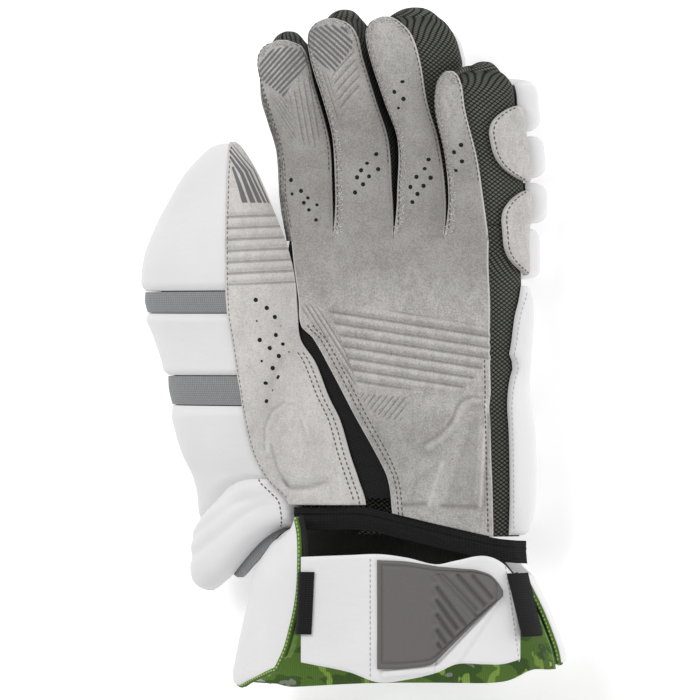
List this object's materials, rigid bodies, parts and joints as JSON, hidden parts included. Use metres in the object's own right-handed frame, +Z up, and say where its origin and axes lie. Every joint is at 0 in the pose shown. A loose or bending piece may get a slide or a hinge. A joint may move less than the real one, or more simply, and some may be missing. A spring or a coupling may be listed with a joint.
{
  "type": "lacrosse glove",
  "caption": "Padded left-hand field sport glove with suede palm, mesh finger gussets, rolled backhand pads, hard-padded thumb, flared cuff and wrist strap",
  "frame": {"origin": "the flat underside of the large upper backhand pad, below the palm", "axes": "+Z up out of the palm, +Y toward the fingertips, -X toward the thumb"},
  "size_m": [0.2142, 0.3303, 0.0762],
  "materials": {
    "suede": "napped suede",
    "mesh": "matte woven mesh",
    "leather": "smooth coated",
    "knit": "matte knit",
    "elastic": "matte woven elastic",
    "lining": "matte printed cloth",
    "rubber": "matte moulded"
  },
  "bodies": {
    "root": {"palm_panel": "suede", "thumb_panel": "suede", "palm_gusset_strip": "elastic", "hand_liner": "mesh", "thumb_liner": "mesh", "index_gusset": "mesh", "index_roll_1": "leather", "index_roll_2": "leather", "index_roll_3": "leather", "index_knuckle": "leather", "middle_gusset": "mesh", "middle_roll_1": "leather", "middle_roll_2": "leather", "middle_roll_3": "leather", "middle_knuckle": "leather", "ring_gusset": "mesh", "ring_roll_1": "leather", "ring_roll_2": "leather", "ring_roll_3": "leather", "ring_knuckle": "leather", "pinky_gusset": "mesh", "pinky_roll_1": "leather", "pinky_roll_2": "leather", "pinky_roll_3": "leather", "pinky_knuckle": "leather", "back_pad_upper": "leather", "back_pad_middle": "leather", "back_pad_lower": "leather", "side_panel": "leather", "side_patch_upper": "suede", "side_patch_lower": "suede", "thumb_cap": "leather", "thumb_band_upper": "knit", "thumb_segment_middle": "leather", "thumb_band_lower": "knit", "thumb_segment_lower": "leather", "wrist_roll": "leather", "wrist_binding": "elastic", "cuff_back_pad": "leather", "cuff_flap_left": "leather", "cuff_flap_right": "leather", "cuff_lining": "lining", "strap_band": "leather", "strap_tail": "leather", "strap_patch": "rubber", "strap_loop_left": "elastic", "strap_loop_right": "elastic"}
  },
  "joints": []
}
